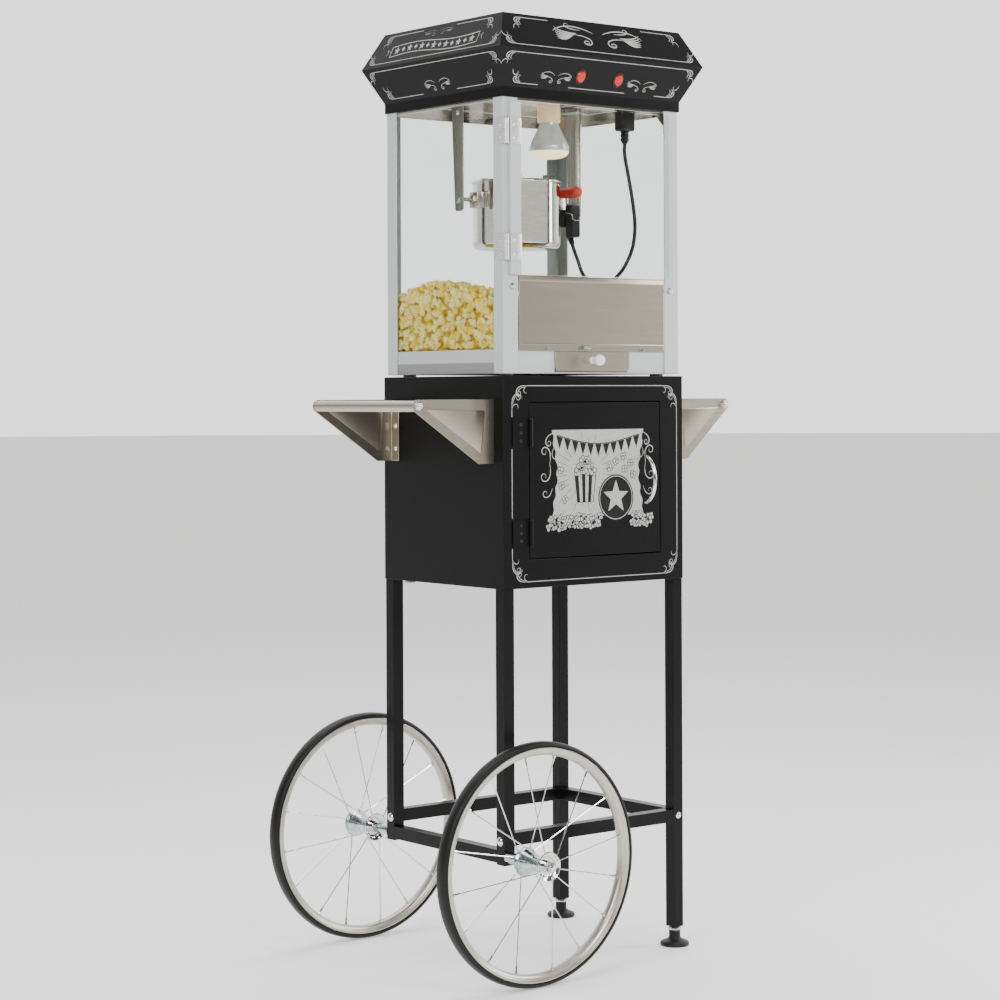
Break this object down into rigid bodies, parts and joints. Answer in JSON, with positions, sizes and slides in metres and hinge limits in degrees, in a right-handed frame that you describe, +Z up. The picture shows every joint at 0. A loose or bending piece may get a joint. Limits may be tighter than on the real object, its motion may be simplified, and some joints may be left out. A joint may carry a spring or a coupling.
{
  "type": "popcorn cart",
  "caption": "Popcorn machine with a tilting kettle in a glass case, on a sheet-metal cabinet with side handles, spoked wheels and levelling feet.",
  "frame": {"origin": "on the floor, under the middle of the cart's box", "axes": "+Z up; -Y towards the side with the doors; -X towards the wheels"},
  "size_m": [0.7419, 0.58, 1.6303],
  "materials": {
    "frame_paint": "satin black powder coat",
    "cabinet_paint": "satin black powder coat on sheet steel",
    "canopy_paint": "satin black powder coat on sheet steel",
    "machine_paint": "light silver-grey paint",
    "brushed_steel": "brushed stainless sheet",
    "polished_steel": "polished stainless",
    "rim_alloy": "satin silver rim",
    "bright_chrome": "bright plated steel",
    "tyre_rubber": "matt black solid rubber",
    "pane_glass": "clear pane",
    "lamp_glass": "silvered lamp glass and holder",
    "black_plastic": "moulded black plastic",
    "red_plastic": "moulded red plastic",
    "popcorn": "popped corn, pale yellow with amber specks"
  },
  "bodies": {
    "cart_frame": {"leg_front_left": "frame_paint", "leg_rear_left": "frame_paint", "leg_front_right": "frame_paint", "leg_rear_right": "frame_paint", "front_crossbar": "frame_paint", "rear_crossbar": "frame_paint", "right_crossbar": "frame_paint", "axle_beam": "frame_paint", "cabinet_shell": "cabinet_paint", "cabinet_hinge_upper": "cabinet_paint", "cabinet_hinge_lower": "cabinet_paint", "canopy": "canopy_paint", "machine_base": "machine_paint", "front_left_post": "machine_paint", "front_right_post": "machine_paint", "rear_left_post": "machine_paint", "rear_right_post": "machine_paint", "left_bracket_front": "brushed_steel", "left_bracket_rear": "brushed_steel", "right_bracket_front": "brushed_steel", "right_bracket_rear": "brushed_steel", "left_push_bar": "brushed_steel", "right_push_bar": "brushed_steel", "left_hanger": "brushed_steel", "right_hanger": "brushed_steel", "ceiling_plate": "polished_steel", "axle": "bright_chrome", "door_hinge_upper": "bright_chrome", "door_hinge_lower": "bright_chrome", "left_glass": "pane_glass", "right_glass": "pane_glass", "back_glass": "pane_glass", "lamp_bulb": "lamp_glass", "lead_plug": "black_plastic", "kettle_lead": "black_plastic", "popcorn_heap": "popcorn"},
    "front_wheel": {"front_tyre": "tyre_rubber", "front_rim": "rim_alloy", "front_hub": "bright_chrome", "front_spokes": "bright_chrome"},
    "rear_wheel": {"rear_tyre": "tyre_rubber", "rear_rim": "rim_alloy", "rear_hub": "bright_chrome", "rear_spokes": "bright_chrome"},
    "front_levelling_foot": {"front_foot": "black_plastic"},
    "rear_levelling_foot": {"rear_foot": "black_plastic"},
    "cabinet_door": {"cabinet_door": "cabinet_paint", "door_pull": "bright_chrome"},
    "glass_door": {"door_glass": "pane_glass", "door_stile": "machine_paint"},
    "serving_flap": {"serving_flap": "brushed_steel"},
    "crumb_drawer": {"crumb_drawer": "brushed_steel"},
    "kettle": {"kettle_pot": "polished_steel", "kettle_handle": "red_plastic", "kettle_connector": "black_plastic"},
    "front_lid": {"kettle_lid_front": "polished_steel"},
    "rear_lid": {"kettle_lid_rear": "polished_steel"},
    "agitator": {"agitator": "polished_steel"},
    "light_switch": {"light_switch": "red_plastic"},
    "heater_switch": {"heater_switch": "red_plastic"}
  },
  "joints": [
    {"name": "front_wheel_spin", "type": "hinge", "parent": "cart_frame", "child": "front_wheel", "pos_m": [-0.167, -0.245, 0.204], "axis": [0, 1, 0], "continuous": true},
    {"name": "rear_wheel_spin", "type": "hinge", "parent": "cart_frame", "child": "rear_wheel", "pos_m": [-0.167, 0.245, 0.204], "axis": [0, 1, 0], "continuous": true},
    {"name": "front_foot_screw", "type": "slide", "parent": "cart_frame", "child": "front_levelling_foot", "axis": [0, 0, 1], "range_m": [-0.02, 0]},
    {"name": "rear_foot_screw", "type": "slide", "parent": "cart_frame", "child": "rear_levelling_foot", "axis": [0, 0, 1], "range_m": [-0.02, 0]},
    {"name": "cabinet_door_swing", "type": "hinge", "parent": "cart_frame", "child": "cabinet_door", "pos_m": [-0.1185, -0.1745, 0.8385], "axis": [0, 0, -1], "range_deg": [0, 120]},
    {"name": "glass_door_swing", "type": "hinge", "parent": "cart_frame", "child": "glass_door", "pos_m": [-0.1665, -0.171, 1.334], "axis": [0, 0, -1], "range_deg": [0, 110]},
    {"name": "serving_flap_swing", "type": "hinge", "parent": "cart_frame", "child": "serving_flap", "pos_m": [0.029, -0.1605, 1.168], "axis": [-1, 0, 0], "range_deg": [0, 75]},
    {"name": "drawer_slide", "type": "slide", "parent": "cart_frame", "child": "crumb_drawer", "axis": [0, -1, 0], "range_m": [0, 0.18]},
    {"name": "kettle_tilt", "type": "hinge", "parent": "cart_frame", "child": "kettle", "pos_m": [0.029, 0.045, 1.332], "axis": [1, 0, 0], "range_deg": [0, 100]},
    {"name": "front_lid_hinge", "type": "hinge", "parent": "kettle", "child": "front_lid", "pos_m": [0.029, 0.0392, 1.3698], "axis": [-1, 0, 0], "range_deg": [0, 70]},
    {"name": "rear_lid_hinge", "type": "hinge", "parent": "kettle", "child": "rear_lid", "pos_m": [0.029, 0.0508, 1.3698], "axis": [1, 0, 0], "range_deg": [0, 70]},
    {"name": "agitator_spin", "type": "hinge", "parent": "kettle", "child": "agitator", "pos_m": [0.029, 0.045, 1.3], "axis": [0, 0, 1], "continuous": true},
    {"name": "light_switch_rock", "type": "hinge", "parent": "cart_frame", "child": "light_switch", "pos_m": [-0.0116, -0.18205, 1.53237], "axis": [1, 0, 0], "range_deg": [0, 12]},
    {"name": "heater_switch_rock", "type": "hinge", "parent": "cart_frame", "child": "heater_switch", "pos_m": [0.0743, -0.18205, 1.53237], "axis": [1, 0, 0], "range_deg": [0, 12]}
  ]
}
